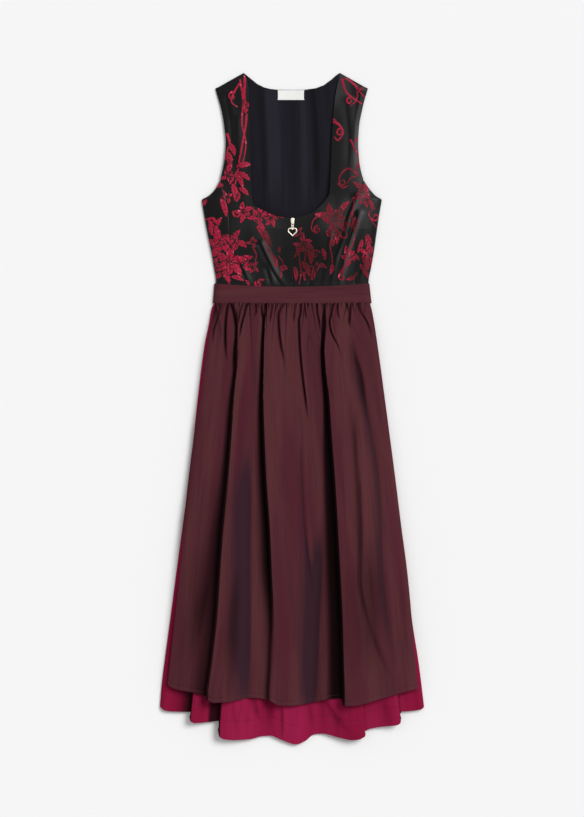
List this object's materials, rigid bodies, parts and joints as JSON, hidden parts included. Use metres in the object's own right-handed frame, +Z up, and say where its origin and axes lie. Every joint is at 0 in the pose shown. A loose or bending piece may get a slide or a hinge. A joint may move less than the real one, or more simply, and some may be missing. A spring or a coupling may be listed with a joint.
{
  "type": "dirndl dress",
  "caption": "Sleeveless dirndl with gathered apron lying flat on its back: strapped bodice with front zip and heart pull, waist band, long pleated skirt",
  "frame": {"origin": "centre of the bounding box in plan, on the surface that the dress lies on", "axes": "+X to the right in the picture, +Y from hem to neck, +Z up from the surface through the back to the front"},
  "size_m": [0.5546, 1.406, 0.0406],
  "materials": {
    "brocade": "black satin brocade with red woven flowers",
    "lining": "plain black lining",
    "label": "white woven label, bare",
    "taffeta": "shot taffeta, wine red over black",
    "skirt_cloth": "plain raspberry cloth with a dull sheen",
    "zip_cloth": "black zip tape and teeth",
    "zip_metal": "pale polished gold"
  },
  "bodies": {
    "dress": {"bodice_back": "brocade", "back_lining": "lining", "neck_label": "label", "front_centre_left": "brocade", "front_centre_right": "brocade", "front_side_left": "brocade", "front_side_right": "brocade", "zip_tape": "zip_cloth", "zip_slider": "zip_metal", "apron_band": "taffeta", "apron_band_back": "taffeta", "apron_panel": "taffeta", "skirt_front": "skirt_cloth", "skirt_back": "skirt_cloth"},
    "zip_pull": {"zip_pull": "zip_metal"}
  },
  "joints": [
    {"name": "pull_hinge", "type": "hinge", "parent": "dress", "child": "zip_pull", "pos_m": [0.0011, 0.3871, 0.0209], "axis": [-1, 0, 0], "range_deg": [0, 150]}
  ]
}
